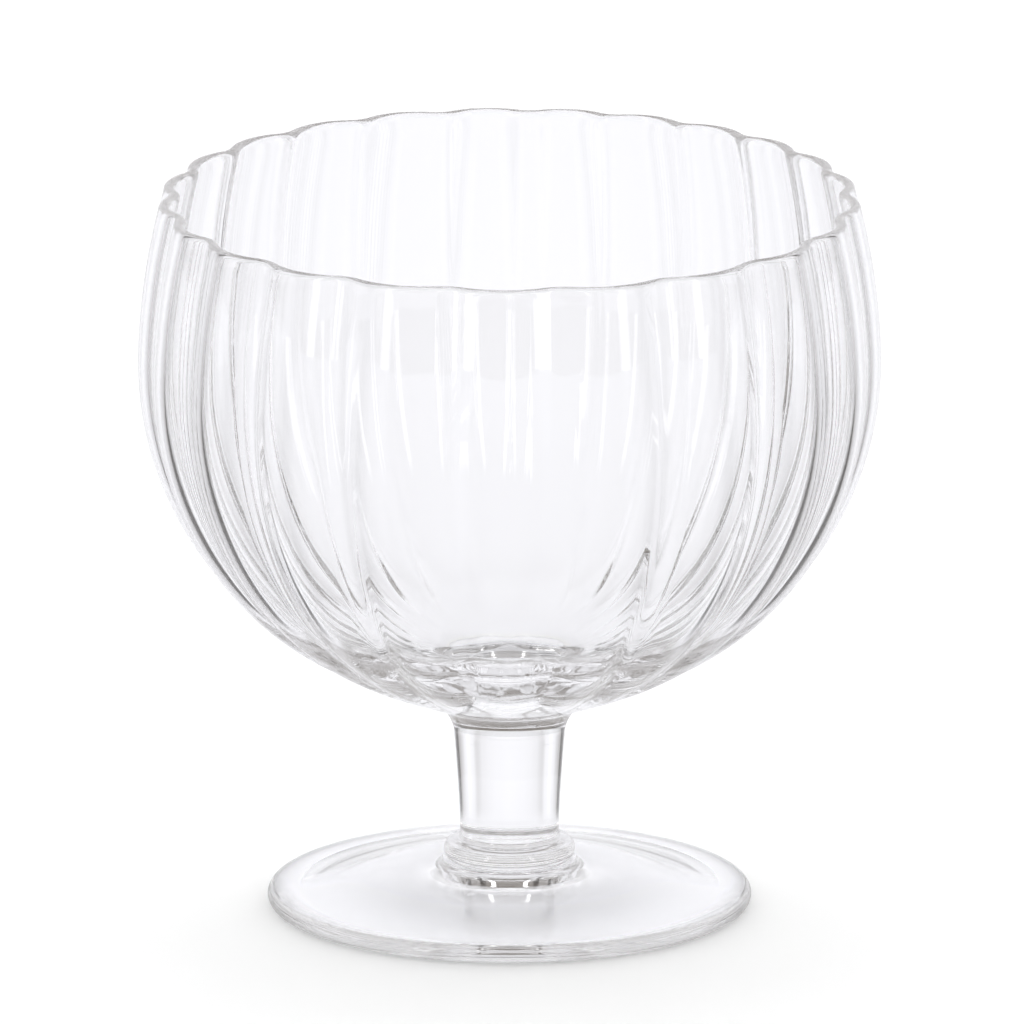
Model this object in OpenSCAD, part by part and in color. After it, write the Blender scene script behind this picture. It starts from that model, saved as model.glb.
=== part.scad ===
// Footed parfait glass, hot-made in four pieces: a ribbed bowl, a stem, a collar and a foot.
// Millimetres, +Z up, origin on the glass's axis at the table. The front is towards -Y.

/* [Bowl] */
// Width of the bowl across its widest part
bowl_d = 110; // [90:1:130]
// Height of the bowl from the stem joint to the lip
bowl_h = 81.9; // [70:0.1:95]
// Height of the widest part above the stem joint
belly_z = 57.8; // [56:0.2:62]
// Radius of the arc round the belly
belly_r = 52; // [46:0.5:54]
// Radius of the flatter arc under the belly
base_r = 79; // [70:1:95]
// Radius of the almost straight arc up to the lip
mouth_r = 106; // [80:1:200]
// Angle below the belly at which the flatter arc takes over
base_turn = 59.4; // [54:0.2:62]
// Angle above the belly at which the mouth's arc takes over
mouth_turn = 2; // [0:0.5:6]
// Radius of the hollow curve from the bowl into the stem
neck_fillet = 5.6; // [3:0.1:6]
// Thickness of the wall between two grooves
wall = 1.7; // [1.5:0.1:2.6]
// How much thicker than the wall the glass is in the middle of the base
base_extra = 9.4; // [6:0.1:11]
// Distance from the axis within which the glass thickens towards the middle
thick_r = 42; // [38:0.5:50]

/* [Ribs] */
// Number of ribs round the bowl
rib_count = 23; // [12:1:26]
// Depth of a groove between two ribs
groove_depth = 1.4; // [0.8:0.1:1.6]
// Share of a rib's half width that the rounding of a groove takes
valley_share = 0.25; // [0.1:0.01:0.5]
// Height of the ridge inside, behind each groove
inner_ridge = 1.5; // [1:0.1:1.8]
// Share of a rib's half width that the rounding of a ridge takes
ridge_share = 0.3; // [0.1:0.01:0.5]
// Radius at which the grooves begin, near the stem
groove_start_r = 9; // [8.6:0.1:12]
// Radius from which the grooves are at full depth
groove_full_r = 36; // [30:0.5:50]
// Turn of the first groove from the front, in degrees
first_groove = 6.9; // [-180:0.1:180]
// Most that a groove stands off its even place, in degrees, since blown ribs are never quite even
rib_drift = 8.1; // [0:0.1:9]
// Side, from the front, on which the ribs are widest, in degrees
wide_side = -8; // [-180:0.1:180]
// The same for a drift that comes twice in a round
second_drift = 2.1; // [0:0.1:3]
// Side of the second drift, in degrees
second_side = 16; // [-90:0.5:90]

/* [Stem] */
// Length of the stem between the bowl and the collar
stem_h = 14.8; // [8:0.2:60]
// Width of the stem at the bowl
stem_top_d = 16.4; // [15.2:0.1:17]
// Width of the stem at the collar
stem_low_d = 14.6; // [13.6:0.1:15.2]

/* [Collar] */
// Width of the bead between the stem and the foot
collar_d = 19.4; // [19:0.1:20]
// Height of the bead
collar_h = 4; // [3.6:0.1:4.1]
// Radius of the bead's round side
bead_r = 1.7; // [1.6:0.05:1.9]
// Radius of the hollow curve from the bead into the stem
collar_fillet = 0.8; // [0.6:0.05:0.9]

/* [Foot] */
// Width of the foot
foot_d = 71.4; // [56:0.2:100]
// Thickness of the foot's round edge
foot_edge_t = 2.6; // [2:0.1:3.4]
// Height of the foot's centre, where the collar sits
foot_h = 6.8; // [6:0.1:9]
// Width of the raised ring under the collar
hub_d = 20.4; // [20:0.1:24]
// Height of the raised ring above the slope of the foot
hub_h = 0.9; // [0.7:0.05:1.2]
// Radius of the raised ring's round side
hub_r = 0.5; // [0.3:0.05:0.6]
// Radius of the hollow curve from the raised ring into the foot
hub_fillet = 1.5; // [1:0.1:2.5]
// Width of the flat ring that the foot stands on
rest_w = 3.6; // [2:0.1:6]
// Height of the hollow under the foot
kick_h = 1.4; // [0.6:0.1:2]

/* [Hidden] */

glass = [0.86, 0.92, 0.93, 0.45];
thick_glass = [0.74, 0.83, 0.85, 0.6];

// Heights of the joints between the pieces
collar_z = foot_h;
stem_z = collar_z + collar_h;
bowl_z = stem_z + stem_h;
rim_z = bowl_z + bowl_h;
widest_z = bowl_z + belly_z;

// How finely the curves are cut
turn_faces = 96;
arc_steps = 8;
stem_steps = 6;
neck_steps = 3;
base_steps = 3;
belly_steps = 6;
mouth_steps = 2;
lip_steps = 4;
inner_belly_steps = 5;
inner_base_steps = 5;
rib_steps = 8;

// Shapes of the curves: powers of their formulas, and the share by which a rib's cuts crowd to its groove
stem_sweep = 1.4;
crowding_share = 0.6;

// Reach of the inner floor's flat, as a share of the neck's
floor_share = 0.2;

// Points of an arc in the plane of the profile, from one angle to another
function arc(centre, radius, from, to, steps) =
    [for (i = [0 : steps])
        let (a = from + (to - from) * i / steps)
        centre + radius * [cos(a), sin(a)]];

// A list without its first point, to follow on from the one before
function rest_of(points) = [for (i = [1 : len(points) - 1]) points[i]];

function smooth_share(x) =
    let (s = max(0, min(1, x)))
    s * s * (3 - 2 * s);

// Centres of the three arcs of the bowl's outer side, each in line with the last where they meet
belly_centre = [bowl_d / 2 - belly_r, widest_z];
base_centre = belly_centre + (base_r - belly_r) * [-cos(base_turn), sin(base_turn)];
mouth_centre = belly_centre - (mouth_r - belly_r) * [cos(mouth_turn), sin(mouth_turn)];

// The hollow curve at the neck touches the line of the stem and the flatter arc
neck_x = stem_top_d / 2 + neck_fillet;
neck_turn = acos((neck_x - base_centre[0]) / (base_r + neck_fillet));
neck_centre = [neck_x, base_centre[1] - (base_r + neck_fillet) * sin(neck_turn)];

// Lip: a half round as thick as the wall
lip_r = wall / 2;
lip_z = rim_z - lip_r;
mouth_end = asin((lip_z - mouth_centre[1]) / mouth_r);
lip_outer_r = mouth_centre[0] + mouth_r * cos(mouth_end);
lip_inner_r = lip_outer_r - wall;

// Outer side of the bowl, on the ribs' crests, from the stem up to the lip
outer_line = concat(
    [[stem_top_d / 2, bowl_z]],
    arc(neck_centre, neck_fillet, 180, 180 - neck_turn, neck_steps),
    rest_of(arc(base_centre, base_r, -neck_turn, -base_turn, base_steps)),
    rest_of(arc(belly_centre, belly_r, -base_turn, mouth_turn, belly_steps)),
    rest_of(arc(mouth_centre, mouth_r, mouth_turn, mouth_end, mouth_steps))
);

// Inner side: an even wall, which thickens below the belly towards the middle of the base.
// Each of its points lies square under a point of the outer side, at a turn below the belly.
function base_glass(r) = wall + base_extra * (1 - smooth_share(r / thick_r));
function inner_point(centre, radius, turn) =
    let (inner = radius - base_glass(centre[0] + radius * cos(turn)))
    centre + inner * [cos(turn), sin(turn)];

// The last turn, at the flat of the inner floor
floor_turn = acos((floor_share * neck_x - base_centre[0]) / base_r);
inner_line = concat(
    arc(mouth_centre, mouth_r - wall, mouth_end, mouth_turn, mouth_steps),
    [for (i = [1 : inner_belly_steps])
        inner_point(belly_centre, belly_r, mouth_turn - (base_turn + mouth_turn) * i / inner_belly_steps)],
    [for (i = [1 : inner_base_steps])
        inner_point(base_centre, base_r, -base_turn - (floor_turn - base_turn) * i / inner_base_steps)]
);

// Ribs. A share of a rib's width runs from 0 in one groove over the crest to 1 in the next.
// A rib is round: its depth grows with the square of the way to the groove, up to a round valley.
function dip(share, valley) =
    let (
        bend = 1 - valley,
        out = abs(1 - 2 * share),
        slope = min(out, bend),
        into = max(0, out - bend)
    )
    slope * slope / bend + 2 * into - into * into / valley;
function outer_dip(share) = groove_depth * dip(share, valley_share);
function inner_dip(share) = inner_ridge * dip(share, ridge_share);
function rib_fade(r) = smooth_share((r - groove_start_r) / (groove_full_r - groove_start_r));

// Where each cut through a rib lies: the shares crowd towards the groove
rib_shares = [for (i = [0 : rib_steps - 1])
    i / rib_steps - crowding_share * sin(360 * i / rib_steps) / (2 * PI)];
cuts = [for (rib = [0 : rib_count - 1], share = rib_shares) [rib, share]];

// Direction of a cut, counted from the front
function cut_turn(cut) =
    let (even = first_groove + 360 * (cut[0] + cut[1]) / rib_count)
    even + rib_drift * sin(even - wide_side) + second_drift * sin(2 * (even - second_side));

// Rings of the bowl's skin: radius on the crests, height, and how far each side's ribs count
outer_rings = [for (p = outer_line) [p[0], p[1], 1, 0]];
lip_rings = [for (i = [1 : lip_steps - 1])
    let (a = 180 * i / lip_steps, s = (1 + cos(a)) / 2)
    [s * lip_outer_r + (1 - s) * lip_inner_r, lip_z + lip_r * sin(a), s, 1 - s]];
inner_rings = [for (p = inner_line) [p[0], p[1], 0, 1]];
bowl_rings = concat(outer_rings, lip_rings, inner_rings);

function ring_radius(ring, share) =
    ring[0] - rib_fade(ring[0]) * (ring[2] * outer_dip(share) + ring[3] * inner_dip(share));
function ring_point(ring, cut) =
    let (r = ring_radius(ring, cut[1]), a = cut_turn(cut))
    [r * sin(a), -r * cos(a), ring[1]];

// The bowl: rings joined into one skin, flat where it meets the stem and on the inner floor
module bowl() {
    around = len(cuts);
    last = len(bowl_rings) - 1;
    points = [for (ring = bowl_rings, cut = cuts) ring_point(ring, cut)];
    joint_face = [for (j = [0 : around - 1]) j];
    floor_face = [for (j = [around - 1 : -1 : 0]) last * around + j];
    sides = [for (i = [0 : last - 1], j = [0 : around - 1], half = [0, 1])
        let (
            low = i * around + j,
            low_next = i * around + (j + 1) % around,
            up = low + around,
            up_next = low_next + around
        )
        half == 0 ? [low, up, up_next] : [low, up_next, low_next]];
    color(glass)
        polyhedron(points, concat([joint_face], sides, [floor_face]), convexity = 6);
}

// The stem: a solid rod that narrows from the bowl, quickly at first
module stem() {
    low_r = stem_low_d / 2;
    top_r = stem_top_d / 2;
    side = [for (i = [0 : stem_steps])
        let (s = i / stem_steps)
        [low_r + (top_r - low_r) * pow(s, stem_sweep), stem_z + stem_h * s]];
    color(thick_glass)
        rotate_extrude($fn = turn_faces)
            polygon(concat([[0, stem_z]], side, [[0, bowl_z]]));
}

// The collar: a bead of glass pressed between the stem and the foot
module collar() {
    bead_x = collar_d / 2 - bead_r;
    fillet_x = stem_low_d / 2 + collar_fillet;
    reach = bead_r + collar_fillet;
    fillet_turn = acos((fillet_x - bead_x) / reach);
    bead_z = stem_z - reach * sin(fillet_turn);
    low_turn = -asin((bead_z - collar_z) / bead_r);
    side = concat(
        arc([bead_x, bead_z], bead_r, low_turn, fillet_turn, arc_steps),
        rest_of(arc([fillet_x, stem_z], collar_fillet, fillet_turn - 180, -180, arc_steps))
    );
    color(thick_glass)
        rotate_extrude($fn = turn_faces)
            polygon(concat([[0, collar_z]], side, [[0, stem_z]]));
}

// The foot: a disc with a round edge, a slope up to a raised ring, and a hollow underneath
module foot() {
    edge_r = foot_edge_t / 2;
    edge_x = foot_d / 2 - edge_r;
    rest_in = edge_x - rest_w;
    kick_r = (rest_in * rest_in + kick_h * kick_h) / (2 * kick_h);
    kick_turn = asin(rest_in / kick_r);
    hub_x = hub_d / 2 - hub_r;
    hub_z = foot_h - hub_r;
    slope_z = foot_h - hub_h;
    fillet_z = slope_z + hub_fillet;
    fillet_turn = asin((fillet_z - hub_z) / (hub_r + hub_fillet));
    fillet_x = hub_x + (hub_r + hub_fillet) * cos(fillet_turn);
    slope = atan((slope_z - foot_edge_t) / (edge_x - fillet_x));
    profile = concat(
        arc([0, kick_h - kick_r], kick_r, 90, 90 - kick_turn, arc_steps),
        arc([edge_x, edge_r], edge_r, -90, 90 - slope, arc_steps),
        arc([fillet_x, fillet_z], hub_fillet, -90 - slope, -180 + fillet_turn, arc_steps),
        rest_of(arc([hub_x, hub_z], hub_r, fillet_turn, 90, arc_steps)),
        [[0, foot_h]]
    );
    color(glass)
        rotate_extrude($fn = turn_faces)
            polygon(profile);
}

bowl();
stem();
collar();
foot();
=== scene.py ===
"""The look of a footed parfait glass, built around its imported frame.

Metres, +Z up. The glass stands at the origin, and its photographed side faces -Y.
Sizes of the glass are written in millimetres, as a glassmaker would, and scaled once in the mesh code.
"""

import logging
import math
from dataclasses import dataclass
from enum import Enum

import bpy
import numpy as np
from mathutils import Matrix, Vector


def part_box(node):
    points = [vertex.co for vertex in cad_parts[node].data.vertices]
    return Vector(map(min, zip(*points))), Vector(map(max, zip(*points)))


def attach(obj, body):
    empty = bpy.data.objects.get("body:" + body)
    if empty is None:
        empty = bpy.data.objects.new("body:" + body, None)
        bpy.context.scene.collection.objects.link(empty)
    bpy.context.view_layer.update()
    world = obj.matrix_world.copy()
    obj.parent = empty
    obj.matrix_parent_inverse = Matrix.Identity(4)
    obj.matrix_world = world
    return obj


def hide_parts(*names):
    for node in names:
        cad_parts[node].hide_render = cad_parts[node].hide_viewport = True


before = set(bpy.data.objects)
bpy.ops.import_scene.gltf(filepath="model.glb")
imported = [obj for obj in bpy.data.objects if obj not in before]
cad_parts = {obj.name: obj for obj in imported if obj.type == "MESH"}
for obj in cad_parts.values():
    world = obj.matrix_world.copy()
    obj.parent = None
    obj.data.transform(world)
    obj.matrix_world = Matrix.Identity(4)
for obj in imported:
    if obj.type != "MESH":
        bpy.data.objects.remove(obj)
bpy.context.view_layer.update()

MM = 0.001
ROOT_BODY = "root"
SHARP_TURN = 35.0
HALF_TURN = 180.0

log = logging.getLogger("parfait_glass")

Point = tuple[float, float]
Point3 = tuple[float, float, float]
Colour = tuple[float, float, float, float]
Socket = bpy.types.NodeSocket

WHITE: Colour = (1.0, 1.0, 1.0, 1.0)


class Surface(Enum):
    """What a face of a piece is: open glass, or the fused joint to the next piece."""

    GLASS = 0
    JOINT = 1


class RayKind(Enum):
    """The rays that see the studio by way of the glass, by their socket on the Light Path node."""

    GLOSSY = "Is Glossy Ray"
    TRANSMISSION = "Is Transmission Ray"


def smooth_share(x: np.ndarray | float) -> np.ndarray | float:
    """A share from 0 to 1 with soft ends.

    Args:
        x: The plain share, which may lie outside 0 to 1.

    Returns:
        The eased share.
    """
    s = np.clip(x, 0.0, 1.0)
    return s * s * (3 - 2 * s)


@dataclass(frozen=True)
class Arc:
    """A round stretch of a profile, in the plane of radius and height, in mm and degrees."""

    centre: Point
    radius: float
    start: float
    end: float

    def points(self, steps: int) -> list[Point]:
        """Points along the arc.

        Args:
            steps: Number of steps along it.

        Returns:
            One more point than steps, both ends included.
        """
        turns = np.radians(np.linspace(self.start, self.end, steps + 1))
        return [(self.centre[0] + self.radius * math.cos(a), self.centre[1] + self.radius * math.sin(a))
                for a in turns]


@dataclass(frozen=True)
class Wiring:
    """Adds nodes to one node tree and links them."""

    tree: bpy.types.NodeTree

    def feed(self, socket: Socket, source: float | Colour | Socket) -> None:
        """Links an input to another node's output, or sets its value.

        Args:
            socket: The input.
            source: The output to link it to, or a number or a colour.
        """
        if isinstance(source, Socket):
            self.tree.links.new(source, socket)
        else:
            socket.default_value = source

    def sum_of(self, operation: str, *sources: float | Socket) -> Socket:
        """The outcome of a sum with numbers.

        Args:
            operation: What the sum does, by Blender's name.
            sources: What goes into it, in order.

        Returns:
            The outcome's socket.
        """
        node = self.tree.nodes.new("ShaderNodeMath")
        node.operation = operation
        for socket, source in zip(node.inputs, sources):
            self.feed(socket, source)
        return node.outputs[0]

    def vector_sum(self, operation: str, *sources: Socket) -> bpy.types.Node:
        """A node that does a sum with vectors or colours.

        Args:
            operation: What the sum does, by Blender's name.
            sources: What goes into it, in order.

        Returns:
            The node.
        """
        node = self.tree.nodes.new("ShaderNodeVectorMath")
        node.operation = operation
        for socket, source in zip(node.inputs, sources):
            self.feed(socket, source)
        return node

    def parts(self, vector: Socket) -> dict[str, Socket]:
        """The sockets X, Y and Z of a vector."""
        node = self.tree.nodes.new("ShaderNodeSeparateXYZ")
        self.feed(node.inputs[0], vector)
        return {axis: node.outputs[axis] for axis in "XYZ"}

    def eased(self, value: Socket, start: float, end: float) -> Socket:
        """A socket that rises softly from 0 to 1 while another one goes from start to end.

        Args:
            value: The other socket.
            start: Its value at 0.
            end: Its value at 1.

        Returns:
            The socket.
        """
        node = self.tree.nodes.new("ShaderNodeMapRange")
        node.interpolation_type = "SMOOTHSTEP"
        node.inputs["From Min"].default_value = start
        node.inputs["From Max"].default_value = end
        self.feed(node.inputs["Value"], value)
        return node.outputs["Result"]

    def mixed(self, share: Socket, first: Colour | Socket, second: Colour | Socket) -> Socket:
        """A socket with a mixed colour.

        Args:
            share: The share of the second colour.
            first: A colour, or a socket with one.
            second: The same for the second colour.

        Returns:
            The socket.
        """
        node = self.tree.nodes.new("ShaderNodeMix")
        node.data_type = "RGBA"
        self.feed(node.inputs["Factor"], share)
        for source, name in ((first, "A"), (second, "B")):
            self.feed(next(x for x in node.inputs if x.name == name and x.type == "RGBA"), source)
        return next(x for x in node.outputs if x.name == "Result" and x.type == "RGBA")

    def seen_through_glass(self) -> Socket:
        """A socket that is 1 for rays that come by way of the glass, and 0 for all that light the table.

        Returns:
            The socket.
        """
        path = self.tree.nodes.new("ShaderNodeLightPath").outputs
        by_glass = self.sum_of("MAXIMUM", path[RayKind.GLOSSY.value], path[RayKind.TRANSMISSION.value])
        lights_table = self.sum_of("MINIMUM", path["Diffuse Depth"], 1.0)
        seen = self.sum_of("SUBTRACT", by_glass, lights_table)
        seen.node.use_clamp = True
        return seen


@dataclass(frozen=True)
class ClearGlass:
    """Fire-polished clear glass: bends light, and its skin is very slightly wavy from the heat."""

    name: str
    bend: float = 1.5
    tint: Colour = WHITE
    wave_size: float = 0.012
    wave_height: float = 0.00002
    wave_detail: float = 1.0

    def material(self) -> bpy.types.Material:
        """Builds the finish.

        Returns:
            The finished material.
        """
        made = bpy.data.materials.new(self.name)
        made.use_nodes = True
        wiring = Wiring(made.node_tree)
        nodes = made.node_tree.nodes
        shader = nodes["Principled BSDF"]
        shader.inputs["Base Color"].default_value = self.tint
        shader.inputs["Transmission Weight"].default_value = 1.0
        shader.inputs["Roughness"].default_value = 0.0
        shader.inputs["IOR"].default_value = self.bend
        waves = nodes.new("ShaderNodeTexNoise")
        waves.inputs["Scale"].default_value = 1 / self.wave_size
        waves.inputs["Detail"].default_value = self.wave_detail
        wiring.feed(waves.inputs["Vector"], nodes.new("ShaderNodeTexCoord").outputs["Object"])
        relief = nodes.new("ShaderNodeBump")
        relief.inputs["Strength"].default_value = 1.0
        relief.inputs["Distance"].default_value = self.wave_height
        wiring.feed(relief.inputs["Height"], waves.outputs["Fac"])
        wiring.feed(shader.inputs["Normal"], relief.outputs["Normal"])
        return made


@dataclass(frozen=True)
class FusedJoint:
    """The face at which two pieces were fused while hot: light passes it unbent."""

    name: str = "fused_joint"

    def material(self) -> bpy.types.Material:
        """Builds the finish.

        Returns:
            The finished material.
        """
        made = bpy.data.materials.new(self.name)
        made.use_nodes = True
        nodes = made.node_tree.nodes
        nodes.remove(nodes["Principled BSDF"])
        clear = nodes.new("ShaderNodeBsdfTransparent")
        Wiring(made.node_tree).feed(nodes["Material Output"].inputs["Surface"], clear.outputs["BSDF"])
        return made


@dataclass
class Skin:
    """A closed skin of rings of points, with a flat face or a single point at each end."""

    rings: list[np.ndarray]
    first_tip: Point3 | None = None
    last_tip: Point3 | None = None
    first_cap: Surface = Surface.GLASS
    last_cap: Surface = Surface.GLASS

    def mesh(self, name: str) -> bpy.types.Mesh:
        """Joins the rings into a mesh in metres.

        Args:
            name: The mesh's name.

        Returns:
            The mesh, smooth, with sharp edges where it turns steeply.
        """
        around = len(self.rings[0])
        points = [tuple(p * MM) for ring in self.rings for p in ring]
        faces: list[tuple[int, ...]] = []
        kinds: list[Surface] = []
        step = range(around)
        for i in range(len(self.rings) - 1):
            low, up = i * around, (i + 1) * around
            for j in step:
                k = (j + 1) % around
                faces.append((low + j, low + k, up + k, up + j))
                kinds.append(Surface.GLASS)
        last = (len(self.rings) - 1) * around
        for tip, base, cap, turned in ((self.first_tip, 0, self.first_cap, True),
                                       (self.last_tip, last, self.last_cap, False)):
            if tip is None:
                ring = [base + j for j in step]
                faces.append(tuple(reversed(ring) if turned else ring))
                kinds.append(cap)
                continue
            points.append(tuple(x * MM for x in tip))
            for j in step:
                k = (j + 1) % around
                a, b = base + j, base + k
                faces.append((len(points) - 1, b, a) if turned else (len(points) - 1, a, b))
                kinds.append(cap)
        made = bpy.data.meshes.new(name)
        made.from_pydata(points, [], faces)
        made.polygons.foreach_set("material_index", [kind.value for kind in kinds])
        made.polygons.foreach_set("use_smooth", [True] * len(faces))
        made.set_sharp_from_angle(angle=math.radians(SHARP_TURN))
        made.validate()
        made.update()
        return made


@dataclass(frozen=True)
class Heights:
    """Heights of the joints between the pieces in mm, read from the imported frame."""

    collar: float
    stem: float
    bowl: float
    rim: float

    @classmethod
    def of_frame(cls) -> "Heights":
        """Reads the heights from the CAD nodes' boxes."""
        low = {node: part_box(node)[0].z / MM for node in ("collar", "stem", "bowl")}
        return cls(low["collar"], low["stem"], low["bowl"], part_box("bowl")[1].z / MM)


@dataclass
class GlassPiece:
    """One piece of the glass: its skin becomes an object that stands for a CAD node.

    Each skin keeps a hair's breadth, the seam, from its joints, so that no two faces lie in one plane.
    """

    node: str
    slot: str
    glass: bpy.types.Material
    joint: bpy.types.Material
    heights: Heights
    seam: float = 0.004

    @staticmethod
    def ring_at(turn: np.ndarray, radius: np.ndarray | float, height: float) -> np.ndarray:
        """One ring of points.

        Args:
            turn: The turns of its points, in radians from the front.
            radius: Its radius, or one for each point.
            height: Its height.

        Returns:
            Its points, one row each.
        """
        return np.column_stack([radius * np.sin(turn), -radius * np.cos(turn), np.full_like(turn, height)])

    def skin(self) -> Skin:
        """The piece's closed skin; each kind of piece has its own."""
        raise NotImplementedError

    def build(self) -> bpy.types.Object:
        """Makes the piece, dresses it and ties it to the frame.

        Returns:
            The finished object.
        """
        mesh = self.skin().mesh(self.node + "_glass")
        mesh.materials.append(self.glass)
        mesh.materials.append(self.joint)
        made = bpy.data.objects.new(self.node + "_glass", mesh)
        bpy.context.scene.collection.objects.link(made)
        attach(made, ROOT_BODY)
        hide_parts(self.node)
        log.info("%s: %d faces", made.name, len(mesh.polygons))
        return made


@dataclass
class TurnedPiece(GlassPiece):
    """A piece with a round section everywhere, turned from its profile."""

    turn_faces: int = 384

    def ring(self, radius: float, height: float) -> np.ndarray:
        """One even ring of points, by its radius and height."""
        return self.ring_at(np.linspace(0, 2 * math.pi, self.turn_faces, endpoint=False), radius, height)


@dataclass
class RibbedBowl(GlassPiece):
    """The wide ribbed bowl: three arcs outside, a thick base, and ribs whose widths drift round it.

    Sizes are in mm and turns in degrees; the shares are of a rib's half width.
    """

    width: float = 110.0
    belly_height: float = 57.8
    belly_radius: float = 52.0
    base_radius: float = 79.0
    mouth_radius: float = 106.0
    base_turn: float = 59.4
    mouth_turn: float = 2.0
    neck_width: float = 16.4
    neck_fillet: float = 5.6
    wall: float = 1.7
    base_extra: float = 9.4
    base_reach: float = 42.0
    tip_radius: float = 0.3

    ribs: int = 23
    groove_depth: float = 1.4
    valley_share: float = 0.25
    inner_ridge: float = 1.5
    ridge_share: float = 0.3
    groove_start: float = 9.0
    groove_full: float = 36.0
    first_groove: float = 6.9
    rib_drift: float = 8.1
    wide_side: float = -8.0
    second_drift: float = 2.1
    second_side: float = 16.0
    crowding: float = 0.6

    steps_per_rib: int = 20
    neck_steps: int = 28
    base_steps: int = 40
    belly_steps: int = 52
    mouth_steps: int = 14
    lip_steps: int = 12
    inner_steps: int = 60

    def __post_init__(self) -> None:
        """Works out the centres of the arcs, each in line with the last where they meet."""
        turn, up = math.radians(self.base_turn), math.radians(self.mouth_turn)
        self.belly_centre = (self.width / 2 - self.belly_radius, self.heights.bowl + self.belly_height)
        spread = self.base_radius - self.belly_radius
        self.base_centre = (self.belly_centre[0] - spread * math.cos(turn),
                            self.belly_centre[1] + spread * math.sin(turn))
        spread = self.mouth_radius - self.belly_radius
        self.mouth_centre = (self.belly_centre[0] - spread * math.cos(up),
                             self.belly_centre[1] - spread * math.sin(up))
        self.lip_radius = self.wall / 2
        self.lip_height = self.heights.rim - self.lip_radius
        lip_rise = self.lip_height - self.mouth_centre[1]
        self.mouth_end = math.degrees(math.asin(lip_rise / self.mouth_radius))

    def outer_line(self) -> list[Point]:
        """The outer side on the ribs' crests, from the stem up to the lip."""
        neck_x = self.neck_width / 2 + self.neck_fillet
        reach = self.base_radius + self.neck_fillet
        turn = math.degrees(math.acos((neck_x - self.base_centre[0]) / reach))
        neck = (neck_x, self.base_centre[1] - reach * math.sin(math.radians(turn)))
        arcs = (
            (Arc(neck, self.neck_fillet, 180, 180 - turn), self.neck_steps),
            (Arc(self.base_centre, self.base_radius, -turn, -self.base_turn), self.base_steps),
            (Arc(self.belly_centre, self.belly_radius, -self.base_turn, self.mouth_turn), self.belly_steps),
            (Arc(self.mouth_centre, self.mouth_radius, self.mouth_turn, self.mouth_end), self.mouth_steps),
        )
        line = [(self.neck_width / 2, self.heights.bowl + self.seam), (self.neck_width / 2, neck[1])]
        for arc, steps in arcs:
            line += arc.points(steps)[1:]
        return line

    def lip(self) -> tuple[float, float]:
        """Outer and inner radius at the lip's half round."""
        outer = self.mouth_centre[0] + self.mouth_radius * math.cos(math.radians(self.mouth_end))
        return outer, outer - self.wall

    def thickness(self, radius: float) -> float:
        """Thickness of the glass below the belly, by the outer side's radius."""
        near = 1 - smooth_share(radius / self.base_reach)
        return self.wall + self.base_extra * near

    def inner_line(self) -> list[Point]:
        """The inner side: an even wall, which thickens towards the middle of the base."""
        mouth = Arc(self.mouth_centre, self.mouth_radius - self.wall, self.mouth_end, self.mouth_turn)
        line = mouth.points(self.mouth_steps)
        low = math.degrees(math.acos(-self.base_centre[0] / self.base_radius))
        for centre, radius, start, end in (
                (self.belly_centre, self.belly_radius, self.mouth_turn, -self.base_turn),
                (self.base_centre, self.base_radius, -self.base_turn, -low)):
            for angle in np.radians(np.linspace(start, end, self.inner_steps + 1))[1:]:
                out = (math.cos(angle), math.sin(angle))
                thick = self.thickness(centre[0] + radius * out[0])
                r = centre[0] + (radius - thick) * out[0]
                if r < self.tip_radius:
                    break
                line.append((r, centre[1] + (radius - thick) * out[1]))
        return line

    @staticmethod
    def dip(share: np.ndarray, valley: float) -> np.ndarray:
        """How deep a side lies: 0 on a rib's round crest, and 1 in the narrow groove between two ribs.

        Args:
            share: The place across the rib, 0 and 1 in the grooves at its sides.
            valley: The share of a rib's half width that the rounding of the valley takes.

        Returns:
            The depth, as a share of the groove's.
        """
        out = np.abs(1 - 2 * share)
        bend = 1 - valley
        into = np.clip(out - bend, 0, None)
        return np.minimum(out, bend) ** 2 / bend + 2 * into - into ** 2 / valley

    def shares(self) -> np.ndarray:
        """Shares of a rib's width at which it is cut, crowded towards the groove."""
        even = np.arange(self.steps_per_rib) / self.steps_per_rib
        return even - self.crowding * np.sin(2 * math.pi * even) / (2 * math.pi)

    def turns(self, share: np.ndarray) -> np.ndarray:
        """Turns round the bowl at which it is cut: the ribs' widths drift from one side to the other.

        Args:
            share: The place across the rib for each cut.

        Returns:
            The turns, in radians from the front.
        """
        rib = np.repeat(np.arange(self.ribs), self.steps_per_rib)
        even = self.first_groove + 360 * (rib + share) / self.ribs
        return np.radians(even + self.rib_drift * np.sin(np.radians(even - self.wide_side))
                          + self.second_drift * np.sin(2 * np.radians(even - self.second_side)))

    def rows(self) -> list[tuple[float, float, float, float]]:
        """The profile's points, each with its shares of the outer side's and of the inner side's grooves."""
        outer_lip, inner_lip = self.lip()
        rows = [(r, z, 1.0, 0.0) for r, z in self.outer_line()]
        for a in np.linspace(0, math.pi, self.lip_steps + 1)[1:-1]:
            s = (1 + math.cos(a)) / 2
            rows.append((s * outer_lip + (1 - s) * inner_lip,
                         self.lip_height + self.lip_radius * math.sin(a), s, 1 - s))
        return rows + [(r, z, 0.0, 1.0) for r, z in self.inner_line()]

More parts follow.
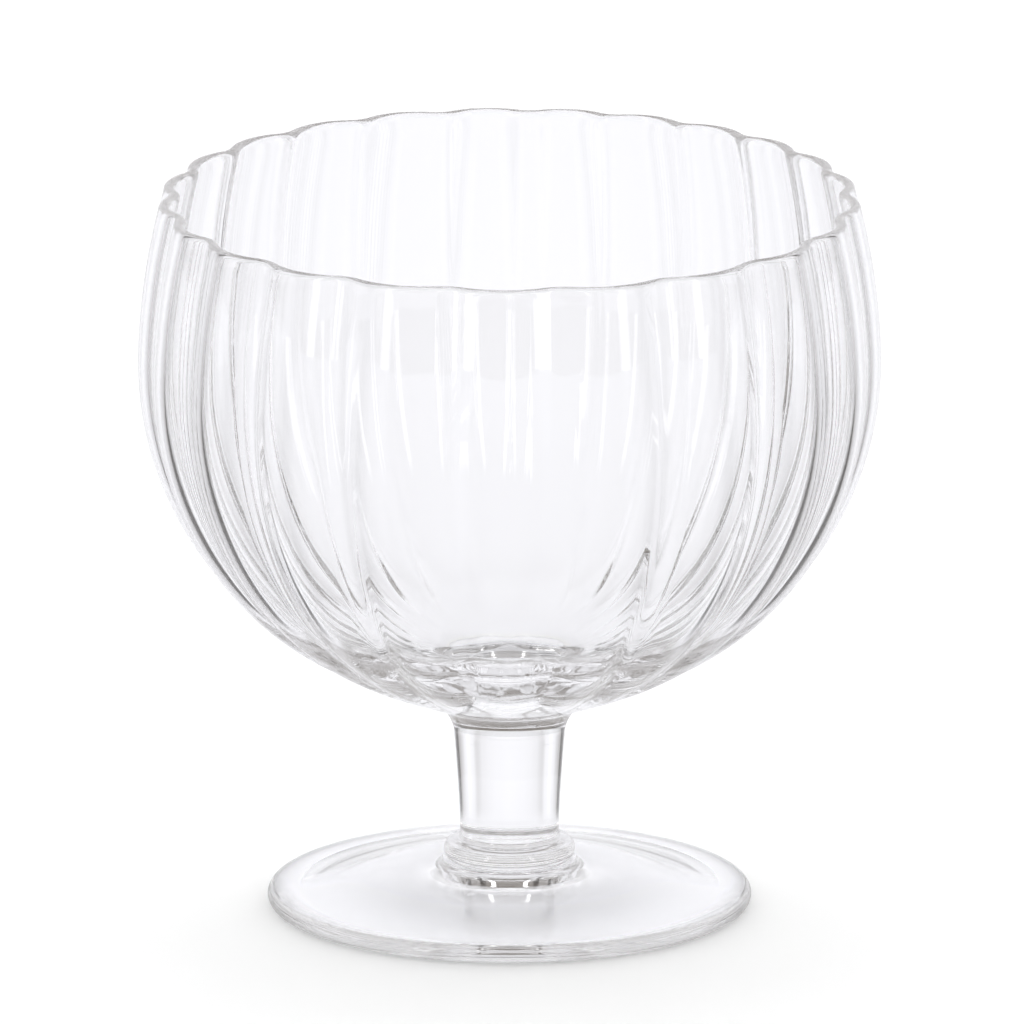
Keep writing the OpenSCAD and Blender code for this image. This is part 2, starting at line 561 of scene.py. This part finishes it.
    def skin(self) -> Skin:
        """The bowl's skin, from the joint up outside, over the lip and down inside.

        Returns:
            The closed skin.
        """
        share = np.tile(self.shares(), self.ribs)
        turn = self.turns(share)
        outer_dip = self.groove_depth * self.dip(share, self.valley_share)
        inner_dip = self.inner_ridge * self.dip(share, self.ridge_share)
        rows = self.rows()
        rings = []
        for r, z, outer, inner in rows:
            fade = smooth_share((r - self.groove_start) / (self.groove_full - self.groove_start))
            radius = r - fade * (outer * outer_dip + inner * inner_dip)
            rings.append(self.ring_at(turn, radius, z))
        return Skin(rings, last_tip=(0, 0, rows[-1][1]), first_cap=Surface.JOINT)


@dataclass
class Stem(TurnedPiece):
    """The short solid stem, which narrows from the bowl, quickly at first."""

    top_width: float = 16.4
    low_width: float = 14.6
    sweep: float = 1.4
    steps: int = 40

    def skin(self) -> Skin:
        """The stem's skin between its two joints."""
        low, top = self.low_width / 2, self.top_width / 2
        start, end = self.heights.stem + self.seam, self.heights.bowl - self.seam
        rings = [self.ring(low + (top - low) * s ** self.sweep, start + (end - start) * s)
                 for s in np.linspace(0, 1, self.steps + 1)]
        return Skin(rings, first_cap=Surface.JOINT, last_cap=Surface.JOINT)


@dataclass
class Collar(TurnedPiece):
    """The bead of glass between the stem and the foot."""

    width: float = 19.4
    bead: float = 1.7
    stem_width: float = 14.6
    fillet: float = 0.8
    bead_steps: int = 200
    fillet_steps: int = 100

    def __post_init__(self) -> None:
        """Works out where the bead and the fillet above it meet."""
        self.bead_x = self.width / 2 - self.bead
        self.fillet_x = self.stem_width / 2 + self.fillet
        reach = self.bead + self.fillet
        self.meeting_turn = math.degrees(math.acos((self.fillet_x - self.bead_x) / reach))
        self.bead_z = self.heights.stem - reach * math.sin(math.radians(self.meeting_turn))

    def low_radius(self) -> float:
        """Radius of the face at which the collar is fused to the foot."""
        return self.bead_x + math.sqrt(self.bead ** 2 - (self.bead_z - self.heights.collar) ** 2)

    def skin(self) -> Skin:
        """The collar's skin between its two joints."""
        low_turn = -math.degrees(math.asin((self.bead_z - self.heights.collar) / self.bead))
        bead = Arc((self.bead_x, self.bead_z), self.bead, low_turn, self.meeting_turn)
        fillet = Arc((self.fillet_x, self.heights.stem), self.fillet, self.meeting_turn - 180, -180)
        side = bead.points(self.bead_steps) + fillet.points(self.fillet_steps)[1:]
        side[0] = (side[0][0], side[0][1] + self.seam)
        side[-1] = (side[-1][0], side[-1][1] - self.seam)
        rings = [self.ring(r, z) for r, z in side]
        return Skin(rings, first_cap=Surface.JOINT, last_cap=Surface.JOINT)


@dataclass
class Foot(TurnedPiece):
    """The round foot: a round edge, a slope up to a raised ring, and a hollow underneath."""

    width: float = 71.4
    edge: float = 2.6
    hub_width: float = 20.4
    hub_height: float = 0.9
    hub_round: float = 0.5
    hub_fillet: float = 1.5
    rest_width: float = 3.6
    kick: float = 3.4
    joint_radius: float = 9.0
    under_steps: int = 80
    edge_steps: int = 96
    fillet_steps: int = 48
    hub_steps: int = 36

    def skin(self) -> Skin:
        """The foot's skin, from the middle of the hollow out, over the edge and up to the joint."""
        top = self.heights.collar
        edge_r = self.edge / 2
        edge_x = self.width / 2 - edge_r
        rest_in = edge_x - self.rest_width
        kick_r = (rest_in ** 2 + self.kick ** 2) / (2 * self.kick)
        kick_turn = math.degrees(math.asin(rest_in / kick_r))
        hub_x, hub_z = self.hub_width / 2 - self.hub_round, top - self.hub_round
        slope_z = top - self.hub_height
        fillet_z = slope_z + self.hub_fillet
        reach = self.hub_round + self.hub_fillet
        turn = math.degrees(math.asin((fillet_z - hub_z) / reach))
        fillet_x = hub_x + reach * math.cos(math.radians(turn))
        slope = math.degrees(math.atan((slope_z - self.edge) / (edge_x - fillet_x)))
        under = Arc((0, self.kick - kick_r), kick_r, 90, 90 - kick_turn)
        edge = Arc((edge_x, edge_r), edge_r, -90, 90 - slope)
        fillet = Arc((fillet_x, fillet_z), self.hub_fillet, -90 - slope, -180 + turn)
        hub = Arc((hub_x, hub_z), self.hub_round, turn, 90)
        line = (under.points(self.under_steps)[1:] + edge.points(self.edge_steps)
                + fillet.points(self.fillet_steps) + hub.points(self.hub_steps)[1:])
        line.append((self.joint_radius, top))
        line.append((self.joint_radius - self.seam, top - self.seam))
        rings = [self.ring(r, z) for r, z in line]
        return Skin(rings, first_tip=(0, 0, self.kick), last_cap=Surface.JOINT)


@dataclass(frozen=True)
class StudioCamera:
    """A lens so long that it draws without vanishing points, with the glass where the photo shows it."""

    frame_px: float = 1024.0
    px_per_mm: float = 6.77
    axis_px: float = 509.5
    table_px: float = 901.0
    tilt: float = 15.3
    distance: float = 3.0
    nearest: float = 0.1
    farthest: float = 50.0

    def place(self) -> bpy.types.Object:
        """Makes the camera and looks through it.

        Returns:
            The camera.
        """
        tilt = math.radians(self.tilt)
        middle = self.frame_px / 2
        aside = (middle - self.axis_px) / self.px_per_mm * MM
        height = (self.table_px - middle) / (self.px_per_mm * math.cos(tilt)) * MM
        aim = Vector((aside, 0, height))
        data = bpy.data.cameras.new("studio_camera")
        data.type = "ORTHO"
        data.ortho_scale = self.frame_px / self.px_per_mm * MM
        data.clip_start = self.nearest
        data.clip_end = self.farthest
        made = bpy.data.objects.new("studio_camera", data)
        made.location = aim + self.distance * Vector((0, -math.cos(tilt), math.sin(tilt)))
        made.rotation_euler = (math.pi / 2 - tilt, 0, 0)
        bpy.context.scene.collection.objects.link(made)
        bpy.context.scene.camera = made
        return made


@dataclass(frozen=True)
class UprightBands:
    """Upright bands of light and dark all round the glass, the same on its left as on its right."""

    def stops(self) -> list[tuple[float, float]]:
        """Brightness by the turn away from straight behind, in degrees; each set of bands has its own."""
        raise NotImplementedError

    def tone(self, value: float) -> Colour:
        """The colour of a brightness: plain white light."""
        return (value, value, value, 1.0)

    def colour(self, wiring: Wiring, place: Socket) -> Socket:
        """A socket with the colour of the bands in a direction or at a place.

        Args:
            wiring: The wiring of the node tree.
            place: The direction, or the place as seen from the glass's axis.

        Returns:
            The socket.
        """
        parts = wiring.parts(place)
        turn = wiring.sum_of("ARCTAN2", parts["X"], parts["Y"])
        share = wiring.sum_of("DIVIDE", wiring.sum_of("ABSOLUTE", turn), math.pi)
        bands = wiring.tree.nodes.new("ShaderNodeValToRGB")
        ramp = bands.color_ramp
        ramp.interpolation = "EASE"
        stops = self.stops()
        while len(ramp.elements) < len(stops):
            ramp.elements.new(0.5)
        for element, (angle, value) in zip(ramp.elements, stops):
            element.position = angle / HALF_TURN
            element.color = self.tone(value)
        wiring.feed(bands.inputs["Fac"], share)
        return bands.outputs["Color"]


@dataclass(frozen=True)
class StudioWalls(UprightBands):
    """The studio as the glass shows it: pale, with grey and dark upright cards that draw its lines."""

    back: float = 0.88
    back_falls: tuple[float, float] = (0.98, 0.95)
    back_end: float = 0.80
    grey_card: float = 0.70
    grey_end: float = 0.86
    pale_gap: float = 0.93
    gap_falls: tuple[float, float, float] = (0.84, 0.72, 0.55)
    dark_card: float = 0.03
    side: float = 0.92
    front: float = 0.70
    glint: float = 0.9
    cool: float = 0.012
    warm: float = 0.22

    def stops(self) -> list[tuple[float, float]]:
        """Brightness by the turn away from straight behind, in degrees."""
        first_fall, second_fall = self.back_falls
        behind = [(0, self.back), (9, first_fall * self.back), (14, second_fall * self.back),
                  (19, self.back_end), (25, self.grey_card), (30, self.grey_end), (36, self.pale_gap)]
        falling = list(zip((42, 48, 53), self.gap_falls))
        beside = [(59, self.dark_card), (68, self.dark_card), (73, self.side),
                  (101, self.side), (105, self.dark_card), (116, self.dark_card)]
        before = [(122, self.front), (131, self.front), (135, self.glint), (141, self.glint),
                  (145, self.front), (180, self.front)]
        return behind + falling + beside + before

    def tone(self, value: float) -> Colour:
        """The colour of a grey: a little blue in the pale ones, a little brown in the dark ones."""
        blue = self.cool * float(smooth_share(2 * value))
        brown = self.warm * max(0.0, 1 - value) ** 3
        return (value * (1 - blue + brown), value * (1 - blue), value * (1 + 2 * blue - brown), 1.0)


@dataclass(frozen=True)
class StudioRoom(StudioWalls):
    """The studio above the table: as pale behind the glass, but darker at the sides and in front."""

    side: float = 0.4
    front: float = 0.3
    glint: float = 0.5


@dataclass(frozen=True)
class StripLights(UprightBands):
    """Two upright strip lights, to the left and right in front, which draw the bright lines of the ribs."""

    strength: float = 2.5
    middle: float = 138.0
    half_width: float = 2.5
    softness: float = 3.0
    high: float = 0.8
    fade: float = 0.1

    def stops(self) -> list[tuple[float, float]]:
        """Brightness by the turn away from straight behind, in degrees."""
        start, end = self.middle - self.half_width, self.middle + self.half_width
        return [(0, 0.0), (start - self.softness, 0.0), (start, 1.0), (end, 1.0), (end + self.softness, 0.0)]


@dataclass(frozen=True)
class Table:
    """The pale table: a little of it glows, and the rest takes the shadow of the glass.

    The radii, in metres, part what the glass shows of it: the ground below the foot from its middle to near
    its edge, with painted light, brighter than it is lit; a painted shadow round the edge, darker in front;
    the clear ground beyond it; and the walls' tones far out.
    """

    walls: StudioWalls = StudioWalls()
    radius: float = 4.0
    sides: int = 64
    drop: float = 0.00005
    glow: float = 0.15
    paint: float = 0.88
    # Painted light: the ground below the foot, as the glass shows it, brighter than it is lit, from its
    # middle to near its edge.
    painted_light_under_middle: float = 1.25
    painted_light_under_edge: float = 1.7
    # Painted shadow: a darker ring round the foot's edge, as the glass shows it, darkest in front and palest
    # behind.
    painted_shadow_tone: float = 0.55
    painted_shadow_lean: float = 0.35
    middle: float = 0.012
    near: float = 0.031
    edge: float = 0.037
    # Where the painted shadow round the foot's edge gives way to the clear ground.
    painted_shadow_end: float = 0.040
    clear: float = 0.048
    far: float = 0.075

    def tones(self, wiring: Wiring) -> Socket:
        """A socket with the table's tones as the glass shows them, among them painted light below the foot
        and a painted shadow round its edge.

        Args:
            wiring: The wiring of the table's node tree.

        Returns:
            The socket.
        """
        place = wiring.tree.nodes.new("ShaderNodeTexCoord").outputs["Object"]
        out = wiring.vector_sum("LENGTH", place).outputs["Value"]
        towards = wiring.vector_sum("NORMALIZE", place).outputs["Vector"]
        # Painted shadow round the foot's edge: darker in front, paler behind.
        shadow = wiring.sum_of("MULTIPLY_ADD", wiring.parts(towards)["Y"], self.painted_shadow_lean, self.painted_shadow_tone)
        # Painted light below the foot, brighter towards its edge.
        under = wiring.mixed(wiring.eased(out, self.middle, self.near),
                             self.walls.tone(self.painted_light_under_middle), self.walls.tone(self.painted_light_under_edge))
        # The painted light below the foot gives way to the painted shadow round its edge.
        ring = wiring.mixed(wiring.eased(out, self.near, self.edge), under, shadow)
        ground = wiring.mixed(wiring.eased(out, self.painted_shadow_end, self.clear),
                              ring, self.walls.tone(self.walls.back))
        return wiring.mixed(wiring.eased(out, self.clear, self.far),
                            ground, self.walls.colour(wiring, place))

    def material(self) -> bpy.types.Material:
        """Builds the finish: plain white when seen straight, and by way of the glass with the tones, among
        them painted light below the foot and a painted shadow round its edge.

        Returns:
            The finished material.
        """
        made = bpy.data.materials.new("pale_table")
        made.use_nodes = True
        made.cycles.emission_sampling = "NONE"
        nodes = made.node_tree.nodes
        nodes.remove(nodes["Principled BSDF"])
        wiring = Wiring(made.node_tree)
        seen = wiring.mixed(wiring.seen_through_glass(), WHITE, self.tones(wiring))
        painted = wiring.vector_sum("SCALE", seen)
        painted.inputs["Scale"].default_value = self.paint
        paint = nodes.new("ShaderNodeBsdfDiffuse")
        wiring.feed(paint.inputs["Color"], painted.outputs[0])
        glow = nodes.new("ShaderNodeEmission")
        glow.inputs["Strength"].default_value = self.glow
        wiring.feed(glow.inputs["Color"], seen)
        both = nodes.new("ShaderNodeAddShader")
        wiring.feed(both.inputs[0], paint.outputs["BSDF"])
        wiring.feed(both.inputs[1], glow.outputs["Emission"])
        wiring.feed(nodes["Material Output"].inputs["Surface"], both.outputs["Shader"])
        return made

    def build(self) -> bpy.types.Object:
        """Makes the table.

        Returns:
            The table.
        """
        mesh = bpy.data.meshes.new("table")
        turn = np.linspace(0, 2 * math.pi, self.sides, endpoint=False)
        mesh.from_pydata([(self.radius * math.cos(a), self.radius * math.sin(a), -self.drop) for a in turn],
                         [], [tuple(range(self.sides))])
        mesh.materials.append(self.material())
        table = bpy.data.objects.new("table", mesh)
        bpy.context.scene.collection.objects.link(table)
        log.info("table: %.1f m wide", 2 * self.radius)
        return table


@dataclass(frozen=True)
class StudioLight:
    """Plain soft light from all round; the glass shows the room, a dark ceiling and the strip lights."""

    room: StudioWalls = StudioRoom()
    strips: StripLights = StripLights()
    ceiling: float = 0.18
    ceiling_start: float = 0.55
    ceiling_full: float = 0.8
    lamp: float = 1.15
    lean: float = 1.12

    def build(self) -> None:
        """Sets up the world."""
        world = bpy.data.worlds.new("studio")
        bpy.context.scene.world = world
        world.use_nodes = True
        world.cycles.sampling_method = "NONE"
        nodes = world.node_tree.nodes
        nodes.clear()
        wiring = Wiring(world.node_tree)
        towards = nodes.new("ShaderNodeTexCoord").outputs["Generated"]
        parts = wiring.parts(towards)
        above = wiring.eased(parts["Z"], self.ceiling_start, self.ceiling_full)
        room = wiring.mixed(above, self.room.colour(wiring, towards), self.room.tone(self.ceiling))
        lit = nodes.new("ShaderNodeMapRange")
        lit.inputs["From Min"].default_value = self.strips.high
        lit.inputs["From Max"].default_value = self.strips.high - self.strips.fade
        lit.inputs["To Max"].default_value = self.strips.strength
        wiring.feed(lit.inputs["Value"], parts["Z"])
        strips = self.strips.colour(wiring, towards)
        shown = wiring.vector_sum("MULTIPLY_ADD", strips, lit.outputs["Result"], room)
        light = wiring.sum_of("MULTIPLY_ADD", parts["Y"], self.lean, self.lamp)
        back = nodes.new("ShaderNodeBackground")
        wiring.feed(back.inputs["Color"], wiring.mixed(wiring.seen_through_glass(), light, shown.outputs[0]))
        wiring.feed(nodes.new("ShaderNodeOutputWorld").inputs["Surface"], back.outputs["Background"])
        log.info("studio: lamp %.2f, lean %.2f", self.lamp, self.lean)


@dataclass(frozen=True)
class LightPaths:
    """How far light is followed: through many layers of glass, before it is given up."""

    bounces: int = 160
    open_faces: int = 32

    def apply(self) -> None:
        """Sets the scene's limits, and the plain view."""
        scene = bpy.context.scene
        scene.view_settings.view_transform = "Standard"
        scene.cycles.max_bounces = self.bounces
        scene.cycles.transmission_bounces = self.bounces
        scene.cycles.glossy_bounces = self.bounces
        scene.cycles.transparent_max_bounces = self.open_faces


def glass_pieces() -> list[GlassPiece]:
    """The four pieces of the glass, from the bowl down.

    Returns:
        The pieces, not built yet.
    """
    heights = Heights.of_frame()
    log.info("joints at %s mm", heights)
    bowl_glass = ClearGlass("ribbed_glass").material()
    solid_glass = ClearGlass("solid_glass").material()
    joint = FusedJoint().material()
    collar = Collar("collar", "solid_glass", solid_glass, joint, heights)
    return [
        RibbedBowl("bowl", "ribbed_glass", bowl_glass, joint, heights),
        Stem("stem", "solid_glass", solid_glass, joint, heights),
        collar,
        Foot("foot", "solid_glass", solid_glass, joint, heights, joint_radius=collar.low_radius()),
    ]


def main() -> None:
    """Builds the glass and its studio, and reports each piece."""
    logging.basicConfig(level=logging.INFO, format="%(message)s")
    StudioCamera().place()
    Table().build()
    StudioLight().build()
    for piece in glass_pieces():
        piece.build()
    LightPaths().apply()


if __name__ == "__main__":
    main()
